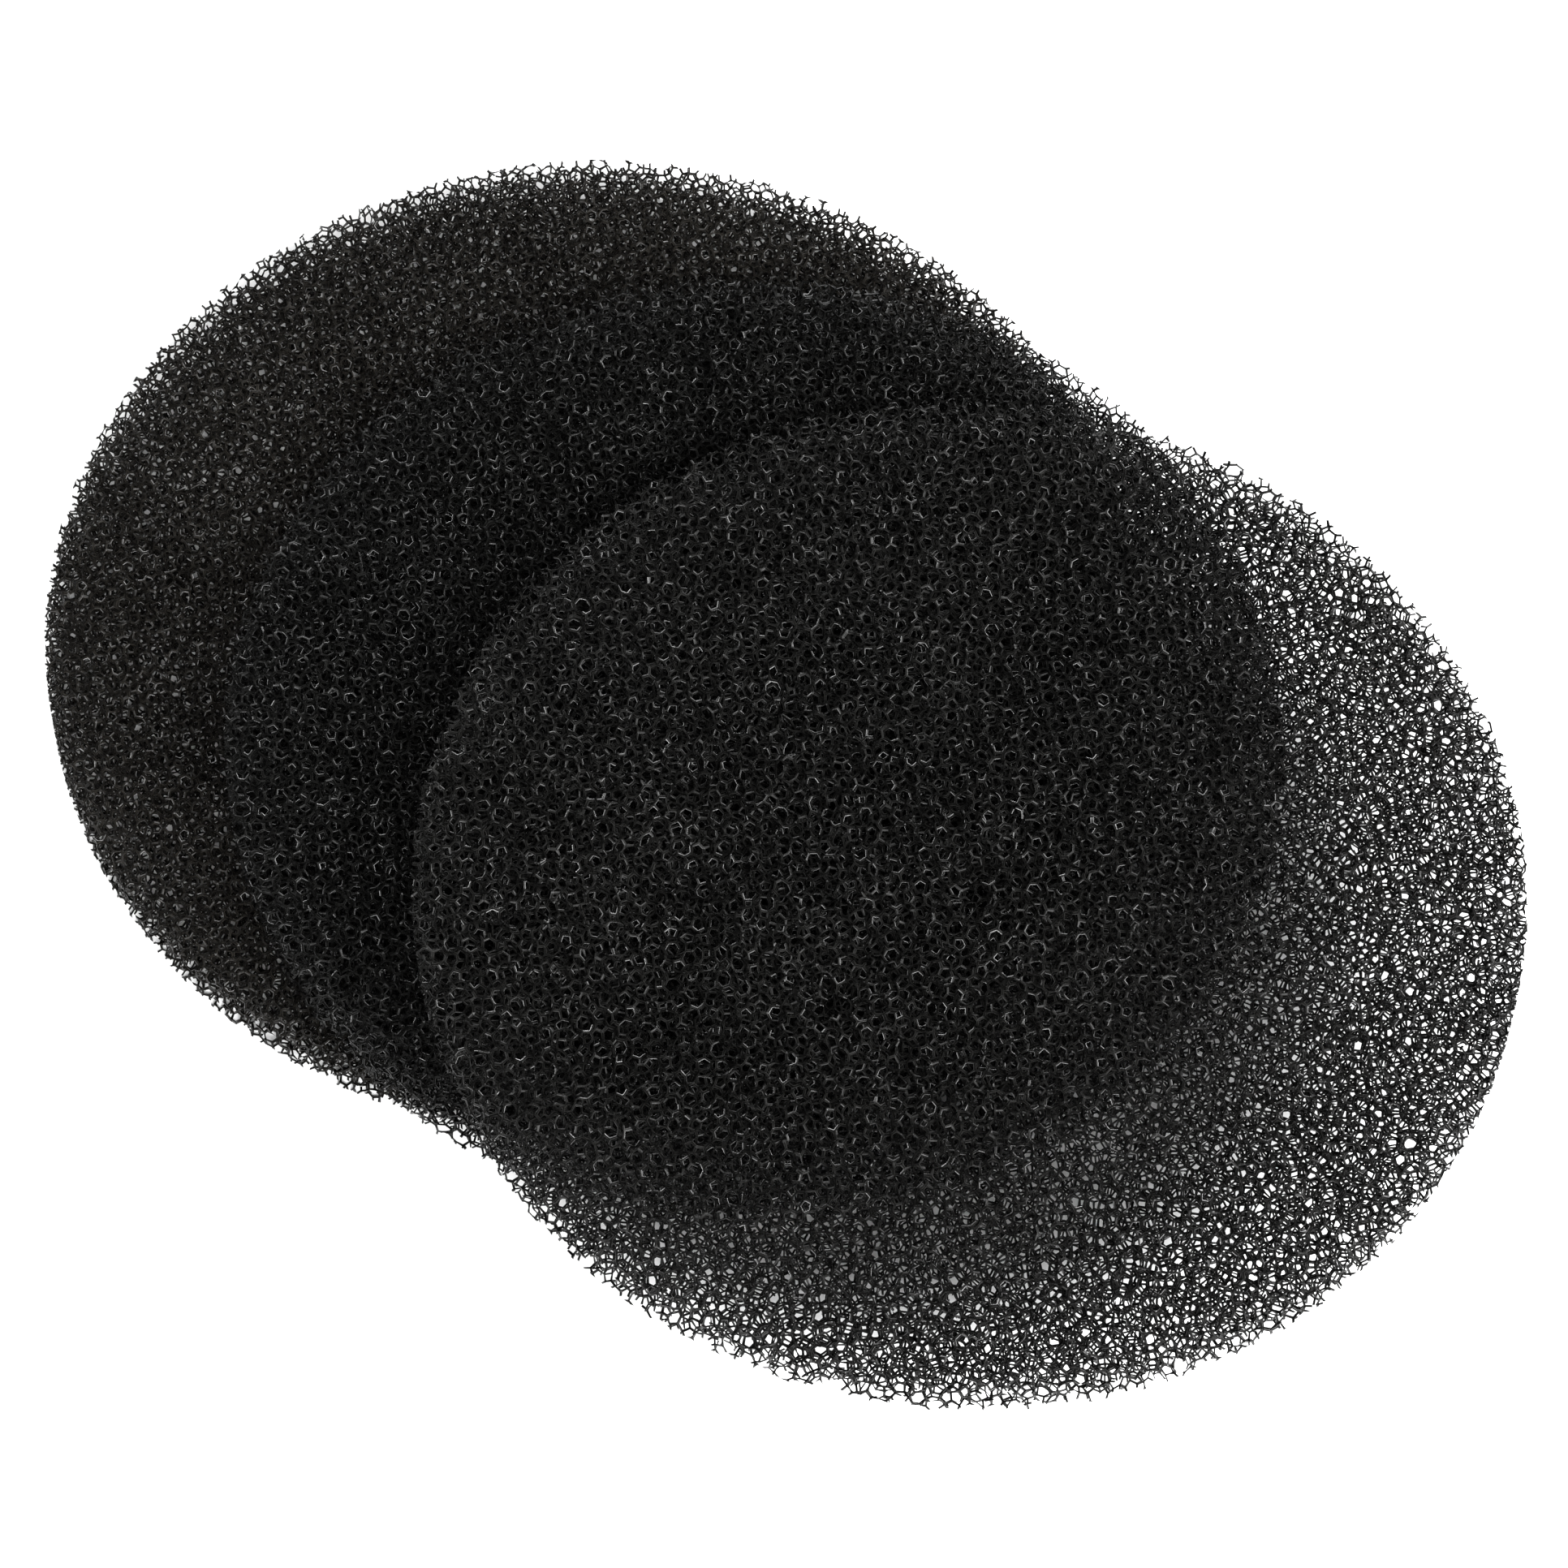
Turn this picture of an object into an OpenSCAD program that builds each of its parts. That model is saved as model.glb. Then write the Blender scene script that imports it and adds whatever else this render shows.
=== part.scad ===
// Three loose round pads of coarse open-cell filter foam, stacked and fanned out along +X.
// Each pad is one piece, cut from sheet, and lies flat: the bottom pad on the surface below,
// the middle pad on the bottom one, and the top pad on the middle one.
// The origin is on that surface, under the middle of the whole fan.

/* [Bottom pad] */
// Diameter of the pad that lies on the surface
bottom_d = 155; // [120:1:200]
// Thickness of that pad
bottom_t = 9; // [4:0.5:25]

/* [Middle pad] */
// Diameter of the pad between the other two
middle_d = 146; // [120:1:200]
// Thickness of that pad
middle_t = 9; // [4:0.5:25]

/* [Top pad] */
// Diameter of the pad on top
top_d = 150; // [120:1:200]
// Thickness of that pad
top_t = 9; // [4:0.5:25]

/* [Fan] */
// How far the middle pad's centre is past the bottom pad's, along +X
middle_step = 31; // [0:0.5:50]
// How far the top pad's centre is past the middle pad's, along +X
top_step = 40.5; // [0:0.5:50]
// Gap left between a pad and the pad it rests on
rest_gap = 0.2; // [0.1:0.05:0.5]

/* [Hidden] */
$fn = 128;

// Where each pad's centre would be if the bottom pad's were at x = 0
middle_run = middle_step;
top_run = middle_step + top_step;

// Both ends of the fan along X, so that the whole fan is centred on the origin
fan_low = min(-bottom_d / 2, middle_run - middle_d / 2, top_run - top_d / 2);
fan_high = max(bottom_d / 2, middle_run + middle_d / 2, top_run + top_d / 2);
fan_middle = (fan_low + fan_high) / 2;

bottom_x = -fan_middle;
middle_x = middle_run - fan_middle;
top_x = top_run - fan_middle;

// Height of each pad's underside
middle_z = bottom_t + rest_gap;
top_z = middle_z + middle_t + rest_gap;

// A plain disc of foam with its underside at height z and its centre at x
module foam_disc(diameter, thickness, x, z) {
    translate([x, 0, z])
        cylinder(d = diameter, h = thickness);
}

module bottom_pad() {
    color("#3a3632")
        foam_disc(bottom_d, bottom_t, bottom_x, 0);
}

module middle_pad() {
    color("#222428")
        foam_disc(middle_d, middle_t, middle_x, middle_z);
}

module top_pad() {
    color("#1c1e22")
        foam_disc(top_d, top_t, top_x, top_z);
}

bottom_pad();
middle_pad();
top_pad();
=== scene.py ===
import math
import time
from concurrent.futures import ThreadPoolExecutor
from itertools import combinations
from types import SimpleNamespace

import bpy
import numpy as np
from mathutils import Matrix, Vector


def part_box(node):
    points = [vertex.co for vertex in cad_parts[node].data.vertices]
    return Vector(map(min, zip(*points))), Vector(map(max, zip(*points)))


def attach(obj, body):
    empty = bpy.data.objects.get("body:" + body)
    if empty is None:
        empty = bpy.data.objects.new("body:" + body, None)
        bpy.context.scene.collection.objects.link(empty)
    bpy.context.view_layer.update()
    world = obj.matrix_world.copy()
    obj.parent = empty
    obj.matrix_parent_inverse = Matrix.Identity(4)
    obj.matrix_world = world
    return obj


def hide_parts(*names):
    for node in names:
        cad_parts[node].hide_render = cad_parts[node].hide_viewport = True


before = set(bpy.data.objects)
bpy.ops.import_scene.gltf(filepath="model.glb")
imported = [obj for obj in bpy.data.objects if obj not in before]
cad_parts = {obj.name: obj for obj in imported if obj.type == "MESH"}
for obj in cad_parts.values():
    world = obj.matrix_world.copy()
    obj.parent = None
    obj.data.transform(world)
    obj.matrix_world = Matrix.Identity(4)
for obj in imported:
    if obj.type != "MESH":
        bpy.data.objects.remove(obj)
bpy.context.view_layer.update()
started = time.time()

# Three round pads of open-cell foam. Each is a lattice of real struts, grown cell by cell and cut round.
# Lengths are in metres.

tiny = 1e-18                   # keeps divisions away from zero

foamGrowth = {
    "cellSpread": 0.10,        # how unevenly the cells are spaced, as a share of their size
    "settleSteps": 14,         # how many times the cells push each other apart
    "pushers": 14,             # the most cells that push any one cell
    "pushBelow": 1.18,         # cells nearer than this push each other, in usual spacings
    "push": 0.24,              # how far one push moves them, as a share of what is missing
    "pushLook": 1.25,          # how far round a cell its pushers are looked for, in usual spacings
    "neighbours": 20,          # cells close enough to one cell to share a window with it
    "neighbourLook": 1.6,      # how far round a cell those are looked for, in usual spacings
    "widest": 0.95,            # how far a corner may lie from its cells' seeds, in usual spacings
    "evenSteps": 6,            # how many times the struts even out their lengths
    "evenPull": 0.16,          # how much of the difference goes each time
    "shortest": 0.05,          # struts shorter than this share of the usual are pulled no harder
    "margin": 1.1,             # foam grown past the cut on every side, in cells
    "windowShare": 0.62,       # the most of a small window that its struts may fill
    "strutSpread": 0.12,       # how much the struts differ in thickness
    "strutExtreme": 2,         # no strut differs by more than this many times that
    "endRange": (0.8, 1.35),   # how far strutEnd gives way, as a share, to make the windows round
    "shortStrut": 0.42,        # struts shorter than this, in cells, need no waist
    "leastCut": 0.02,          # the least of a cut strut that is kept
    "hollow": 0.8,             # how hollow the sides of a strut look: 0 is flat, 1 runs out to a thin web
}

# In every pad the ridge colour is a painted highlight: the strut edges are painted paler than the dark foam,
# where light catches them.
pads = {
    "bottom_pad": {
        "body": "bottom",
        "seed": 11,                # any other number grows other cells of the same kind
        "cellSize": 0.0026,        # across one cell
        "strutMiddle": 0.000106,   # from a strut's centre line to its ridges, halfway along
        "strutEnd": 0.000192,      # the same where four struts join
        "side": (0.0040, 0.0037, 0.0033),   # colour between the ridges of a strut
        "ridge": (0.056, 0.051, 0.043),     # colour along them, paler than the foam: a painted highlight of the light the ridges catch
        "gloss": 0.70,             # how glossy the ridges are
    },
    "middle_pad": {
        "body": "middle",
        "seed": 23,
        "cellSize": 0.0029,
        "strutMiddle": 0.000098,
        "strutEnd": 0.000176,
        "side": (0.0020, 0.0020, 0.0019),
        "ridge": (0.036, 0.036, 0.034),
        "gloss": 0.75,
    },
    "top_pad": {
        "body": "top",
        "seed": 37,
        "cellSize": 0.0029,
        "strutMiddle": 0.000098,
        "strutEnd": 0.000176,
        "side": (0.0025, 0.0025, 0.0024),
        "ridge": (0.055, 0.054, 0.051),
        "gloss": 0.95,
    },
}


def padShape(node):
    # centre, radius, underside and upper face of a pad, from its solid in the frame
    low, high = (np.array(corner, float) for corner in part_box(node))
    centre = (low + high) / 2
    return centre[:2], (high[0] - low[0]) / 2, low[2], high[2]


def nearestSeeds(points, count, reach):
    # the nearest other points to each point, found among those in the 27 boxes round its own
    home = np.floor((points - points.min(0)) / reach).astype(int) + 1
    shape = home.max(0) + 2
    key = np.ravel_multi_index(home.T, shape)
    order = np.argsort(key, kind="stable")
    held = np.bincount(key, minlength=shape.prod())
    first = np.cumsum(held) - held
    seat = np.arange(len(points)) - first[key[order]]
    table = np.full((shape.prod(), held.max()), -1)
    table[key[order], seat] = order
    steps = np.array([(i, j, k) for i in (-1, 0, 1) for j in (-1, 0, 1) for k in (-1, 0, 1)])
    around = np.ravel_multi_index((home[:, None] + steps).reshape(-1, 3).T, shape)
    found = table[around].reshape(len(points), -1)
    apart = np.linalg.norm(points[found] - points[:, None], axis=2)
    apart[(found < 0) | (found == np.arange(len(points))[:, None])] = np.inf
    best = np.argpartition(apart, count, axis=1)[:, :count]
    return np.take_along_axis(found, best, 1), np.take_along_axis(apart, best, 1)


def keepIn(points, radius, reach):
    # moves points that lie outside a disc onto its outline
    flat = np.linalg.norm(points[:, :2], axis=1)
    points[:, :2] *= np.minimum(1, radius / np.maximum(flat, tiny))[:, None]
    points[:, 2] = np.clip(points[:, 2], -reach, reach)


def cellSeeds(radius, depth, cellSize, dice):
    # one point for each cell, scattered through a disc and then pushed apart until none crowds another
    cellVolume = math.pi / 6 * cellSize**3
    outer = radius + foamGrowth["margin"] * cellSize
    tall = depth / 2 + foamGrowth["margin"] * cellSize
    count = round(math.pi * outer**2 * 2 * tall / cellVolume)
    away = outer * np.sqrt(dice.random(count))
    turn = dice.random(count) * 2 * math.pi
    high = (dice.random(count) * 2 - 1) * tall
    points = np.stack([away * np.cos(turn), away * np.sin(turn), high], 1)
    spacing = (math.sqrt(2) * cellVolume) ** (1 / 3)
    for step in range(foamGrowth["settleSteps"]):
        near, apart = nearestSeeds(points, foamGrowth["pushers"], spacing * foamGrowth["pushLook"])
        push = np.clip(foamGrowth["pushBelow"] * spacing - apart, 0, None) / np.maximum(apart, tiny)
        push[~np.isfinite(apart)] = 0
        points = points - foamGrowth["push"] * ((points[near] - points[:, None]) * push[..., None]).sum(1)
        keepIn(points, outer, tall)
    points += dice.normal(0, foamGrowth["cellSpread"] * cellSize / 2, points.shape)
    return points, spacing


def foamCorners(points, spacing):
    # a corner is where four cells meet: the centre of a sphere through four seeds with none inside it
    count = foamGrowth["neighbours"]
    near, _ = nearestSeeds(points, count, spacing * foamGrowth["neighbourLook"])
    one, two, three = np.array(list(combinations(range(count), 3))).T
    fours, places = [], []
    slack = 1 + 1e-9  # a seed that lies on the sphere itself isn't inside it
    batch = 400  # cells worked out at once, few enough to spare the memory
    for low in range(0, len(points), batch):
        mine = np.arange(low, min(low + batch, len(points)))
        to = points[near[mine]] - points[mine][:, None]
        half = (to**2).sum(2) / 2
        turned = np.cross(to[:, :, None], to[:, None])
        sides = turned[:, two, three]
        size = (to[:, one] * sides).sum(2)
        at = half[:, one, None] * sides + half[:, two, None] * turned[:, three, one]
        at += half[:, three, None] * turned[:, one, two]
        at /= np.where(np.abs(size) < tiny, tiny, size)[..., None]
        cell, triple = np.nonzero((at**2).sum(2) < (foamGrowth["widest"] * spacing) ** 2)
        at = at[cell, triple]
        clear = (np.einsum("ij,ikj->ik", at, to[cell]) <= half[cell] * slack).all(1)
        cell, triple, at = cell[clear], triple[clear], at[clear]
        others = [near[mine[cell], part[triple]] for part in (one, two, three)]
        fours.append(np.sort(np.stack([mine[cell], *others], 1), 1))
        places.append(at + points[mine[cell]])
    fours, places = np.concatenate(fours), np.concatenate(places)
    key = fours @ len(points) ** np.arange(4, dtype=np.int64)[::-1]
    _, once, times = np.unique(key, return_index=True, return_counts=True)
    once = once[times >= 3]
    return fours[once], places[once]


def foamEdges(cells, count):
    # an edge joins two corners that share three cells; left is which cell of each corner it leaves out
    keys, corner, left = [], [], []
    for part in range(4):
        rest = np.delete(cells, part, axis=1)
        keys.append(rest @ np.int64(count) ** np.arange(3)[::-1])
        corner.append(np.arange(len(cells)))
        left.append(np.full(len(cells), part))
    keys, corner, left = (np.concatenate(x) for x in (keys, corner, left))
    order = np.argsort(keys, kind="stable")
    same = np.nonzero(keys[order][1:] == keys[order][:-1])[0]
    one, two = order[same], order[same + 1]
    return np.stack([corner[one], corner[two]], 1), np.stack([left[one], left[two]], 1)


def sumAt(where, what, count):
    return np.stack([np.bincount(where, what[:, k], count) for k in range(3)], 1)


def evenOut(places, edges):
    # struts that are much too short lengthen and long ones shorten, as they do when foam rises
    count = len(places)
    joined = np.bincount(edges.ravel(), minlength=count)
    free = (joined == 4)[:, None]
    for step in range(foamGrowth["evenSteps"]):
        line = places[edges[:, 1]] - places[edges[:, 0]]
        length = np.linalg.norm(line, axis=1)
        usual = length.mean()
        share = (length - usual) / np.maximum(length, foamGrowth["shortest"] * usual)
        pull = line * (foamGrowth["evenPull"] * share)[:, None]
        move = sumAt(edges[:, 0], pull, count) - sumAt(edges[:, 1], pull, count)
        places = places + move * free
    return places


def largestPiece(edges, count):
    # which corners belong to the one connected piece of foam; crumbs cut loose from it are dropped
    label = np.arange(count)
    while True:
        lowest = np.minimum(label[edges[:, 0]], label[edges[:, 1]])
        new = label.copy()
        np.minimum.at(new, edges[:, 0], lowest)
        np.minimum.at(new, edges[:, 1], lowest)
        new = new[new]
        if (new == label).all():
            break
        label = new
    return label == np.bincount(label).argmax()


def unit(vectors):
    return vectors / np.maximum(np.linalg.norm(vectors, axis=-1, keepdims=True), tiny)


def hollowSide(spoke, beyond):
    # how a hollow side of a strut faces beside its two ridges; spokes point from the middle to the ridges
    level = unit(spoke + beyond)
    depth = foamGrowth["hollow"]
    lean = (beyond * spoke).sum(1, keepdims=True)
    here = unit(beyond - lean * spoke)
    there = unit(spoke - lean * beyond)
    return unit(level + (here - level) * depth), unit(level + (there - level) * depth)


def windowsRound(left, hand):
    # the three windows round a strut as seen from one end, in an order that turns outwards
    pairs = list(combinations(range(4), 2))
    threes = []
    for part in range(4):
        x, y, z = (k for k in range(4) if k != part)
        threes.append([pairs.index((x, y)), pairs.index((y, z)), pairs.index((x, z))])
    found = np.array(threes)[left]
    side = hand * (-1.0) ** (3 - left)
    return np.where((side > 0)[:, None], found[:, ::-1], found)


def cutShare(begin, along, radius, depth):
    # how far along its length each strut runs before it meets the pad's outline
    rise = np.where(along[..., 2] == 0, tiny, along[..., 2])
    upTo = (np.sign(along[..., 2]) * depth / 2 - begin[..., 2]) / rise
    grow = (along[..., :2] ** 2).sum(2)
    lean = (along[..., :2] * begin[..., :2]).sum(2)
    room = (begin[..., :2] ** 2).sum(2) - radius**2
    outTo = (-lean + np.sqrt(np.maximum(lean**2 - grow * room, 0))) / np.maximum(grow, tiny)
    return np.clip(np.minimum(upTo, outTo), foamGrowth["leastCut"], 1)


def foamWindows(cells, places, count):
    # windows are the flat faces between two cells: which six meet at each corner, and the middle of each
    pairs = np.array(list(combinations(range(4), 2)))
    face = cells[:, pairs[:, 0]] * np.int64(count) + cells[:, pairs[:, 1]]
    _, face = np.unique(face, return_inverse=True)
    face = face.reshape(-1, 6)
    members = np.bincount(face.ravel())
    middle = sumAt(face.ravel(), np.repeat(places, 6, axis=0), len(members)) / members[:, None]
    return face, middle


def ridgePoints(foam, pad):
    # each corner has a point in each of its six windows, placed so that the window comes out round
    ends = windowsRound(foam.left[:, 0], foam.hand[foam.edges[:, 0]])
    beside = foam.face[foam.edges[:, :1], ends].ravel()
    halfway = np.repeat(foam.places[foam.edges].sum(1) / 2, 3, axis=0)
    away = np.linalg.norm(foam.middle[beside] - halfway, axis=1)
    held = np.maximum(np.bincount(beside, minlength=len(foam.middle)), 1)
    opening = np.bincount(beside, away, len(foam.middle)) / held - pad["strutMiddle"]
    inward = foam.middle[foam.face] - foam.places[:, None]
    far = np.linalg.norm(inward, axis=2, keepdims=True)
    least, most = (pad["strutEnd"] * share for share in foamGrowth["endRange"])
    reach = np.clip(far - opening[foam.face][..., None], least, most)
    reach = np.minimum(reach * foam.thick, foamGrowth["windowShare"] * far)
    return foam.places[:, None] + inward / np.maximum(far, tiny) * reach


def growFoam(name, radius, depth):
    # a whole lattice, a little larger than the pad that is cut from it
    pad = pads[name]
    dice = np.random.default_rng(pad["seed"])
    seeds, spacing = cellSeeds(radius, depth, pad["cellSize"], dice)
    cells, places = foamCorners(seeds, spacing)
    edges, left = foamEdges(cells, len(seeds))
    print(name, "grown from", len(seeds), "cells to", len(edges), "struts")
    a, b, c, d = (seeds[cells[:, k]] for k in range(4))
    foam = SimpleNamespace(edges=edges, left=left)
    foam.hand = np.sign(np.einsum("ij,ij->i", b - a, np.cross(c - a, d - a)))
    foam.places = evenOut(places, edges)
    foam.face, foam.middle = foamWindows(cells, foam.places, len(seeds))
    uneven = dice.standard_normal((len(places), 1, 1))
    extreme = foamGrowth["strutExtreme"]
    foam.thick = 1 + foamGrowth["strutSpread"] * uneven.clip(-extreme, extreme)
    foam.ridge = ridgePoints(foam, pad)
    return foam


def trimFoam(foam, radius, depth):
    # drops what lies outside the outline, and turns the struts that cross it so that they start inside
    away = np.linalg.norm(foam.places[:, :2], axis=1)
    inside = (away < radius) & (np.abs(foam.places[:, 2]) < depth / 2)
    inside &= np.bincount(foam.edges.ravel(), minlength=len(foam.places)) == 4
    inside &= largestPiece(foam.edges[inside[foam.edges].all(1)], len(foam.places))
    cut = inside[foam.edges].sum(1) == 1
    turned = cut & inside[foam.edges[:, 1]]
    foam.edges[turned] = foam.edges[turned][:, ::-1]
    foam.left[turned] = foam.left[turned][:, ::-1]
    kept = inside[foam.edges].any(1)
    foam.edges, foam.left, foam.cut, foam.inside = foam.edges[kept], foam.left[kept], cut[kept], inside


def strutWaists(foam, pad, share, windows):
    # halfway along, a strut is thinner, so that its windows look round: its middle ring, and its spokes
    fromEnd, toEnd = foam.places[foam.edges[:, 0]], foam.places[foam.edges[:, 1]]
    line = toEnd - fromEnd
    length = np.linalg.norm(line, axis=1)
    halfway = fromEnd + line * (share.mean(1) / 2)[:, None]
    line = line / np.maximum(length, tiny)[:, None]
    toward = foam.middle[windows] - halfway[:, None]
    toward -= (toward * line[:, None]).sum(2, keepdims=True) * line[:, None]
    far = np.linalg.norm(toward, axis=2, keepdims=True)
    spoke = toward / np.maximum(far, tiny)
    slim = pad["strutMiddle"] * foam.thick[foam.edges].sum(1) / 2
    waist = halfway[:, None] + spoke * np.minimum(slim, foamGrowth["windowShare"] * far)
    long = length * share.mean(1) > foamGrowth["shortStrut"] * pad["cellSize"]
    return waist, spoke, long


def cornerCaps(foam, number):
    # the small faces between the struts at each corner
    pairs = list(combinations(range(4), 2))
    hand = foam.hand[foam.inside]
    caps = []
    for part in range(4):
        trio = [k for k, pair in enumerate(pairs) if part in pair]
        around = number[foam.inside][:, None] * 6 + np.array(trio)
        flip = (hand * (-1.0) ** part > 0)[:, None]
        caps.append(np.where(flip, around[:, ::-1], around))
    return caps


def cutFoam(name, radius, depth):
    # the struts of a round pad centred on the origin: points, triangles, quads, and the way each
    # corner of those faces
    pad = pads[name]
    foam = growFoam(name, radius, depth)
    trimFoam(foam, radius, depth)
    edges, cut, inside = foam.edges, foam.cut, foam.inside
    start = windowsRound(foam.left[:, 0], foam.hand[edges[:, 0]])
    windows, endWindows = foam.face[edges[:, :1], start], foam.face[edges[:, 1]]
    end = (endWindows[:, None] == windows[..., None]).argmax(2)

    # the ridges of a strut run from three points at one corner to three at the other, or to the cut
    number = np.cumsum(inside) - 1
    corners = foam.ridge[inside].reshape(-1, 3)
    startAt = number[edges[:, :1]] * 6 + start
    endAt = number[edges[:, 1:]] * 6 + end
    begin, finish = foam.ridge[edges[:, :1], start], foam.ridge[edges[:, 1:], end]
    share = np.ones((len(edges), 3))
    share[cut] = cutShare(begin[cut], finish[cut] - begin[cut], radius, depth)
    tips = (begin + (finish - begin) * share[..., None])[cut]
    endAt[cut] = len(corners) + np.arange(cut.sum() * 3).reshape(-1, 3)
    waist, spoke, long = strutWaists(foam, pad, share, windows)
    waistAt = len(corners) + len(tips) * 3 + np.arange(long.sum() * 3).reshape(-1, 3)
    points = np.concatenate([corners, tips.reshape(-1, 3), waist[long].reshape(-1, 3)])

    # three sides to each strut, in two lengths where it has a waist
    quads, facing = [], []
    for k in range(3):
        n = (k + 1) % 3
        quads.append(np.stack([startAt[long, k], startAt[long, n], waistAt[:, n], waistAt[:, k]], 1))
        quads.append(np.stack([waistAt[:, k], waistAt[:, n], endAt[long, n], endAt[long, k]], 1))
        quads.append(np.stack([startAt[~long, k], startAt[~long, n], endAt[~long, n], endAt[~long, k]], 1))
        here, there = hollowSide(spoke[:, k], spoke[:, n])
        side = np.stack([here, there, there, here], 1)
        facing += [side[long], side[long], side[~long]]
    quads, facing = np.concatenate(quads), np.concatenate(facing)

    triangles = np.concatenate([endAt[cut], *cornerCaps(foam, number)])
    one, two, three = (points[triangles[:, k]] for k in range(3))
    flatFacing = unit(np.cross(two - one, three - one))
    facing = np.concatenate([np.repeat(flatFacing, 3, axis=0), facing.reshape(-1, 3)])
    keepIn(points, radius, depth / 2)  # nothing stands proud of the cut
    return points, triangles, quads, facing


def meshFrom(name, points, triangles, quads, facing):
    # across says how far a corner of a side is from one ridge, 0, to the next, 1; hollow is how it faces
    mesh = bpy.data.meshes.new(name)
    mesh.vertices.add(len(points))
    mesh.vertices.foreach_set("co", points.astype(np.float32).ravel())
    corners = np.concatenate([triangles.ravel(), quads.ravel()])
    mesh.loops.add(len(corners))
    mesh.loops.foreach_set("vertex_index", corners.astype(np.int32))
    mesh.polygons.add(len(triangles) + len(quads))
    starts = np.concatenate([np.arange(len(triangles)) * 3, triangles.size + np.arange(len(quads)) * 4])
    mesh.polygons.foreach_set("loop_start", starts.astype(np.int32))
    mesh.update(calc_edges=True)
    mesh.shade_smooth()
    across = mesh.attributes.new("across", "FLOAT", "CORNER")
    values = np.concatenate([np.full(triangles.size, 0.5), np.tile([0.0, 1.0, 1.0, 0.0], len(quads))])
    across.data.foreach_set("value", values.astype(np.float32))
    hollow = mesh.attributes.new("hollow", "FLOAT_VECTOR", "CORNER")
    hollow.data.foreach_set("vector", facing.astype(np.float32).ravel())
    return mesh


foamLook = {
    "ridgeSharpness": 4,       # how narrow the painted highlight and the gloss along each ridge are
    "patchScale": 60,          # patches of dust and haze, per metre
    "patchDetail": 4,
    "patchEdges": (0.3, 0.7),  # the noise values where a patch is darkest and palest
    "patchDepth": 0.22,        # how much darker the darkest patch is
    "grainScale": 2600,        # the skin of the struts, per metre
    "grainDetail": 2,
    "grainEdges": (0.35, 0.65),
    "grainDepth": 0.000006,    # height of the skin's bumps
    "roughSmooth": 0.18,
    "roughWorn": 0.38,
    "sideShine": 0.08,         # how much the sides of a strut reflect
    "glossRoughness": 0.26,    # roughness of the shiny ridges
}


def node(tree, kind, **values):
    made = tree.nodes.new("ShaderNode" + kind)
    for name, value in values.items():
        setattr(made, name, value)
    return made


def noise(tree, place, scale, detail):
    made = node(tree, "TexNoise")
    made.inputs["Scale"].default_value = scale
    made.inputs["Detail"].default_value = detail
    tree.links.new(place.outputs["Object"], made.inputs["Vector"])
    return made.outputs["Fac"]


def spread(tree, source, before, after):
    # stretches a noise from its usual range to the one wanted
    made = node(tree, "MapRange")
    for socket, value in zip(("From Min", "From Max", "To Min", "To Max"), (*before, *after)):
        made.inputs[socket].default_value = value
    tree.links.new(source, made.inputs["Value"])
    return made.outputs["Result"]


def ridgeMask(tree):
    # 0 in the middle of a strut's side, 1 along its ridges, where the painted highlight and the gloss go
    across = node(tree, "Attribute", attribute_name="across")
    fromMiddle = node(tree, "Math", operation="MULTIPLY_ADD")
    fromMiddle.inputs[1].default_value = 2
    fromMiddle.inputs[2].default_value = -1
    flat = node(tree, "Math", operation="ABSOLUTE")
    ridge = node(tree, "Math", operation="POWER")
    ridge.inputs[1].default_value = foamLook["ridgeSharpness"]
    tree.links.new(across.outputs["Fac"], fromMiddle.inputs[0])
    tree.links.new(fromMiddle.outputs[0], flat.inputs[0])
    tree.links.new(flat.outputs[0], ridge.inputs[0])
    return ridge.outputs[0]


def foamMaterial(name):
    look = bpy.data.materials.new(name + "_foam")
    look.use_nodes = True
    tree = look.node_tree
    shader = tree.nodes["Principled BSDF"]
    link = tree.links.new
    place = node(tree, "TexCoord")
    ridge = ridgeMask(tree)

    # dark sides, ridges painted paler as a painted highlight of the light they catch, and patches of dust
    ends = node(tree, "ValToRGB")
    ends.color_ramp.elements[0].color = (*pads[name]["side"], 1)
    ends.color_ramp.elements[1].color = (*pads[name]["ridge"], 1)
    patches = noise(tree, place, foamLook["patchScale"], foamLook["patchDetail"])
    depth = foamLook["patchDepth"]
    dust = spread(tree, patches, foamLook["patchEdges"], (1 - depth, 1 + depth))
    tint = node(tree, "VectorMath", operation="SCALE")
    link(ridge, ends.inputs["Fac"])
    link(ends.outputs["Color"], tint.inputs[0])
    link(dust, tint.inputs["Scale"])
    link(tint.outputs["Vector"], shader.inputs["Base Color"])

    # the skin is smooth with duller spots
    grain = noise(tree, place, foamLook["grainScale"], foamLook["grainDetail"])
    rough = spread(tree, grain, foamLook["grainEdges"], (foamLook["roughSmooth"], foamLook["roughWorn"]))
    link(rough, shader.inputs["Roughness"])

    # ridges shine more than the sides between them
    gloss = node(tree, "Math", operation="MULTIPLY")
    gloss.inputs[1].default_value = pads[name]["gloss"]
    link(ridge, gloss.inputs[0])
    link(gloss.outputs[0], shader.inputs["Coat Weight"])
    shader.inputs["Coat Roughness"].default_value = foamLook["glossRoughness"]
    shader.inputs["Specular IOR Level"].default_value = foamLook["sideShine"]

    # each side of a strut is hollow between its ridges, and has a fine grain
    hollow = node(tree, "Attribute", attribute_name="hollow")
    turned = node(tree, "VectorTransform", vector_type="NORMAL", convert_from="OBJECT", convert_to="WORLD")
    skin = node(tree, "Bump")
    skin.inputs["Distance"].default_value = foamLook["grainDepth"]
    link(hollow.outputs["Vector"], turned.inputs["Vector"])
    link(grain, skin.inputs["Height"])
    link(turned.outputs["Vector"], skin.inputs["Normal"])
    for socket in ("Normal", "Coat Normal"):
        link(skin.outputs["Normal"], shader.inputs[socket])
    return look


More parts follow.
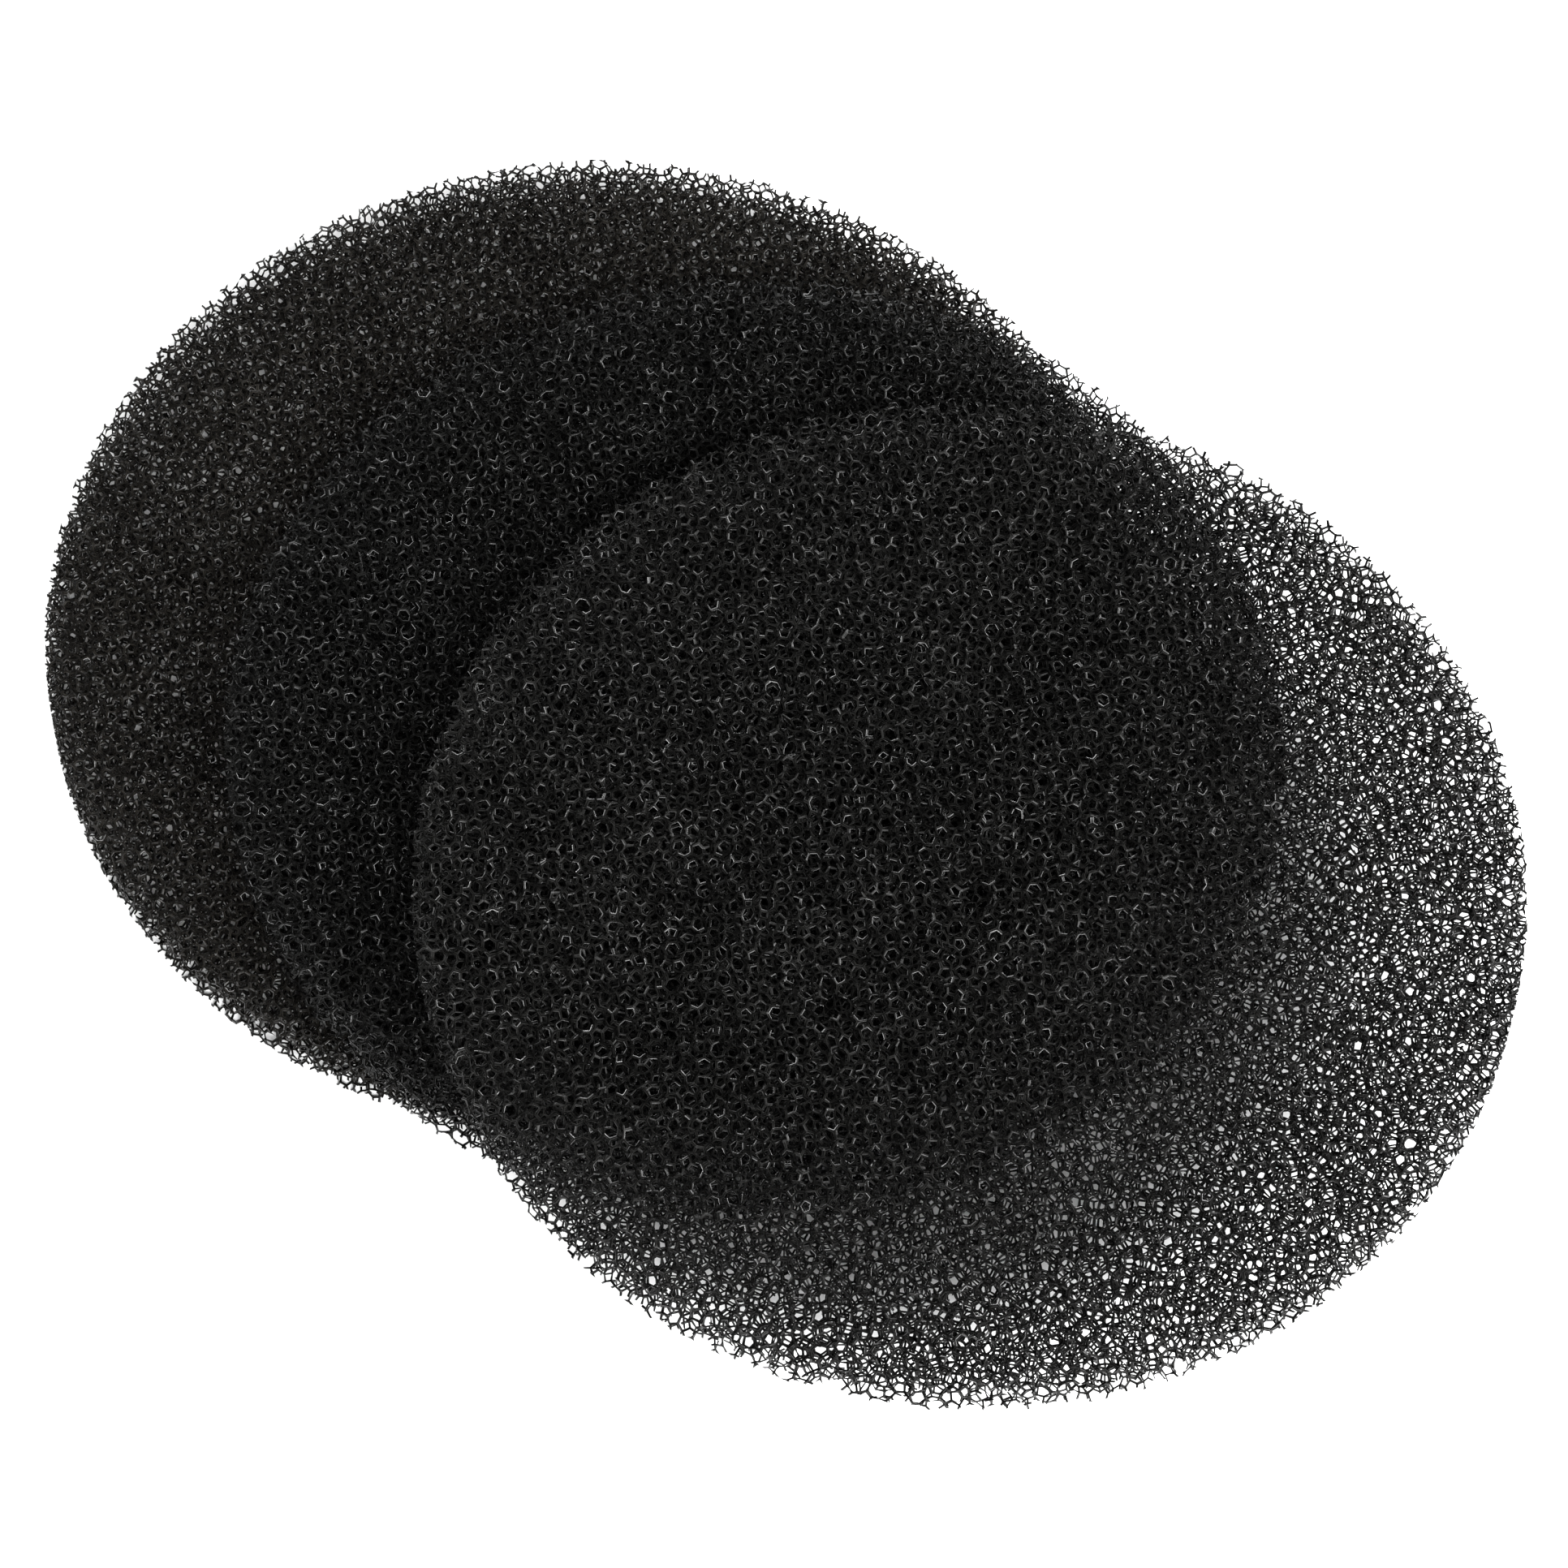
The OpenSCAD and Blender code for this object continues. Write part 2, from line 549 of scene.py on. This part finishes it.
floorLook = {
    "reach": 40,               # large enough that no view sees past it
    "pale": (0.93, 0.93, 0.93),
    "white": (0.97, 0.97, 0.97),
    "grainScale": 700,
    "grainDetail": 2,
    "grainDepth": 0.00002,
    "roughness": 0.85,
}


def addFloor():
    reach = floorLook["reach"]
    mesh = bpy.data.meshes.new("floor")
    outline = [(-reach, -reach, 0), (reach, -reach, 0), (reach, reach, 0), (-reach, reach, 0)]
    mesh.from_pydata(outline, [], [(0, 1, 2, 3)])
    floor = bpy.data.objects.new("floor", mesh)
    bpy.context.scene.collection.objects.link(floor)
    look = bpy.data.materials.new("paleFloor")
    look.use_nodes = True
    tree = look.node_tree
    shader = tree.nodes["Principled BSDF"]
    grain = noise(tree, node(tree, "TexCoord"), floorLook["grainScale"], floorLook["grainDetail"])
    tint = node(tree, "ValToRGB")
    tint.color_ramp.elements[0].color = (*floorLook["pale"], 1)
    tint.color_ramp.elements[1].color = (*floorLook["white"], 1)
    tooth = node(tree, "Bump")
    tooth.inputs["Distance"].default_value = floorLook["grainDepth"]
    tree.links.new(grain, tint.inputs["Fac"])
    tree.links.new(tint.outputs["Color"], shader.inputs["Base Color"])
    tree.links.new(grain, tooth.inputs["Height"])
    tree.links.new(tooth.outputs["Normal"], shader.inputs["Normal"])
    shader.inputs["Roughness"].default_value = floorLook["roughness"]
    mesh.materials.append(look)


studio = {
    "fill": 0.16,              # even light from all round
    "softLights": {
        # name: (degrees round from the camera, height in degrees, degrees across, strength)
        "front": (8, 50, 23, 4.7),
        "key": (56, 36, 20.5, 5.85),
        "back": (195, 42, 23, 1.8),
    },
}

view = {
    "azimuth": 43.27,          # degrees round from the front, which looks along +Y
    "elevation": 60.99,        # degrees above the floor
    "roll": 1.45,              # degrees that the camera leans
    "distance": 0.9,           # from the target
    "lens": 147.5,             # millimetres, as the sensor is
    "sensor": 36,
    "target": (-0.0004, 0.0029, 0),
}


def direction(azimuth, elevation):
    turn, tilt = math.radians(azimuth), math.radians(elevation)
    return Vector((math.cos(tilt) * math.sin(turn), -math.cos(tilt) * math.cos(turn), math.sin(tilt)))


def addLights():
    world = bpy.data.worlds.new("studio")
    bpy.context.scene.world = world
    world.use_nodes = True
    world.node_tree.nodes["Background"].inputs["Color"].default_value = (1, 1, 1, 1)
    world.node_tree.nodes["Background"].inputs["Strength"].default_value = studio["fill"]
    for name, (turn, height, across, strength) in studio["softLights"].items():
        light = bpy.data.lights.new(name, "SUN")
        light.energy = strength
        light.angle = math.radians(across)
        lamp = bpy.data.objects.new(name, light)
        lamp.location = direction(view["azimuth"] + turn, height) * view["distance"]
        lamp.rotation_euler = lamp.location.to_track_quat("Z", "Y").to_euler()
        bpy.context.scene.collection.objects.link(lamp)


def addCamera():
    back = direction(view["azimuth"], view["elevation"])
    turn, roll = math.radians(view["azimuth"]), math.radians(view["roll"])
    right = Vector((math.cos(turn), math.sin(turn), 0))
    up = back.cross(right)
    across = right * math.cos(roll) + up * math.sin(roll)
    upward = up * math.cos(roll) - right * math.sin(roll)
    data = bpy.data.cameras.new("camera")
    data.lens = view["lens"]
    data.sensor_width = view["sensor"]
    camera = bpy.data.objects.new("camera", data)
    place = Matrix((across, upward, back)).transposed().to_4x4()
    place.translation = Vector(view["target"]) + back * view["distance"]
    camera.matrix_world = place
    bpy.context.scene.collection.objects.link(camera)
    bpy.context.scene.camera = camera


def addPad(name, centre, low, high, foam):
    points, triangles, quads, facing = foam
    points += [centre[0], centre[1], (low + high) / 2]
    piece = bpy.data.objects.new(name + "_foam", meshFrom(name + "_foam", points, triangles, quads, facing))
    bpy.context.scene.collection.objects.link(piece)
    piece.data.materials.append(foamMaterial(name))
    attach(piece, pads[name]["body"])
    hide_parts(name)
    print(name, "has", len(triangles) + 2 * len(quads), "triangles after", round(time.time() - started), "s")


shapes = {name: padShape(name) for name in pads}
with ThreadPoolExecutor(len(pads)) as pool:  # the pads grow side by side
    jobs = {}
    for name, (centre, radius, low, high) in shapes.items():
        jobs[name] = pool.submit(cutFoam, name, radius, high - low)
for name, (centre, radius, low, high) in shapes.items():
    addPad(name, centre, low, high, jobs[name].result())

addFloor()
print("floor laid")
addLights()
print("lights set")
addCamera()
bpy.context.scene.view_settings.view_transform = "Standard"
print("camera set")
